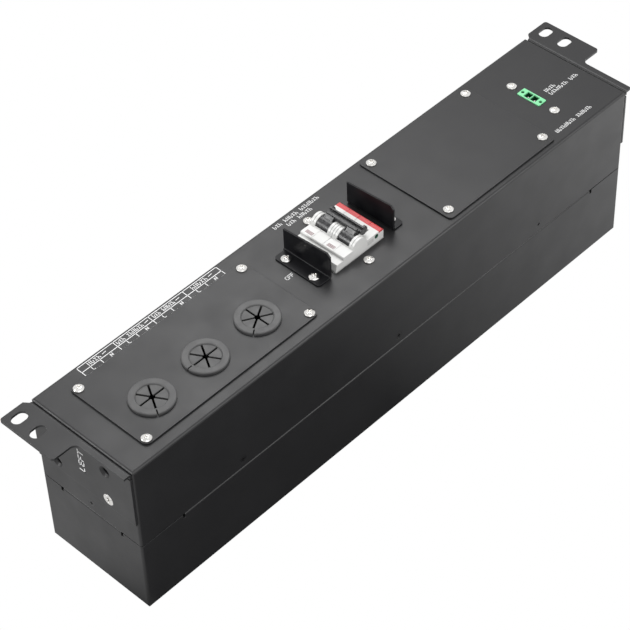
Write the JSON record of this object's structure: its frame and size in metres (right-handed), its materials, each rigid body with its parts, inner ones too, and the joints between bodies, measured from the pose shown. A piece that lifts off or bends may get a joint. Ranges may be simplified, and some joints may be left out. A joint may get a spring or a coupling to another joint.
{
  "type": "rack power distribution box",
  "caption": "Black steel rack box with cable grommets, a guarded breaker, a covered bypass switch and a small control socket, on two slotted ears.",
  "frame": {"origin": "on the flat rear face, under the middle of the part's outer box", "axes": "+X along the rack from the end with the cable grommets to the end with the control socket, +Y to the panel edge with the rack ears, +Z out of the panel"},
  "size_m": [0.4826, 0.0858, 0.1395],
  "materials": {
    "case_black": "fine-textured black powder coat",
    "black_screw": "black zinc",
    "bright_screw": "bright nickel plate",
    "zinc_plate": "zinc-plated sheet",
    "grommet_rubber": "matt black rubber",
    "breaker_white": "smooth white plastic",
    "toggle_black": "satin black plastic",
    "copper": "bare copper",
    "steel_plain": "plain steel",
    "brass": "bare brass",
    "switch_grey": "grey moulding",
    "plunger_red": "red plastic",
    "socket_green": "bright green plastic",
    "pin_tin": "tinned",
    "board_green": "solder-masked board",
    "wire_grey": "PVC insulation",
    "wire_earth": "green and yellow PVC insulation"
  },
  "bodies": {
    "case": {"top_cover": "case_black", "rear_cover": "case_black", "ear_bracket_left": "case_black", "ear_bracket_right": "case_black", "ear_screws": "bright_screw", "case_screws": "black_screw", "press_nuts": "zinc_plate", "cable_plate": "case_black", "cable_plate_screws": "bright_screw", "grommet_1": "grommet_rubber", "grommet_2": "grommet_rubber", "grommet_3": "grommet_rubber", "pole_1_near_case": "breaker_white", "pole_1_far_case": "breaker_white", "pole_2_near_case": "breaker_white", "pole_2_far_case": "breaker_white", "fixed_contacts": "copper", "arc_chutes": "steel_plain", "trip_coils": "copper", "breaker_clamps": "brass", "breaker_clamp_screws": "steel_plain", "din_rail": "zinc_plate", "breaker_bracket": "zinc_plate", "breaker_bracket_screws": "bright_screw", "guard_left": "case_black", "guard_right": "case_black", "guard_screws": "bright_screw", "switch_cover_plate": "case_black", "cover_plate_screws": "bright_screw", "switch_bay": "zinc_plate", "switch_body": "switch_grey", "switch_terminals": "brass", "switch_face_plate": "steel_plain", "interlock_switch": "toggle_black", "interlock_screws": "bright_screw", "control_socket": "socket_green", "control_pins": "pin_tin", "control_board": "board_green", "board_standoffs": "zinc_plate", "control_screws": "bright_screw", "terminal_shelf": "zinc_plate", "terminal_block": "toggle_black", "terminal_bars": "brass", "terminal_screws": "steel_plain", "earth_stud": "zinc_plate", "earth_nuts": "brass", "power_wires": "wire_grey", "earth_wire": "wire_earth"},
    "toggles": {"toggle_1": "toggle_black", "toggle_2": "toggle_black", "toggle_tie_bar": "toggle_black"},
    "contact_arms": {"contact_arms": "copper"},
    "rail_clip_1": {"rail_clip_1": "toggle_black"},
    "rail_clip_2": {"rail_clip_2": "toggle_black"},
    "switch_rotor": {"switch_shaft": "steel_plain", "switch_knob": "toggle_black"},
    "interlock_plunger": {"interlock_plunger": "plunger_red"}
  },
  "joints": [
    {"name": "breaker_toggle", "type": "hinge", "parent": "case", "child": "toggles", "pos_m": [-0.0067, 0, 0.1264], "axis": [0, -1, 0], "range_deg": [0, 80]},
    {"name": "contact_swing", "type": "hinge", "parent": "case", "child": "contact_arms", "pos_m": [-0.004, 0, 0.092], "axis": [0, -1, 0], "range_deg": [0, 20]},
    {"name": "rail_clip_1_pull", "type": "slide", "parent": "case", "child": "rail_clip_1", "axis": [-1, 0, 0], "range_m": [0, 0.003], "stiffness_N_per_m": 800, "springref_m": -0.0005},
    {"name": "rail_clip_2_pull", "type": "slide", "parent": "case", "child": "rail_clip_2", "axis": [-1, 0, 0], "range_m": [0, 0.003], "stiffness_N_per_m": 800, "springref_m": -0.0005},
    {"name": "bypass_turn", "type": "hinge", "parent": "case", "child": "switch_rotor", "pos_m": [0.10245, 0.00005, 0.09], "axis": [0, 0, 1], "range_deg": [0, 90]},
    {"name": "interlock_press", "type": "slide", "parent": "case", "child": "interlock_plunger", "axis": [0, 0, -1], "range_m": [0, 0.0013], "stiffness_N_per_m": 400, "springref_m": -0.002}
  ],
  "couplings": [
    {"joint": "contact_swing", "follows": "breaker_toggle", "ratio": 0.25}
  ]
}
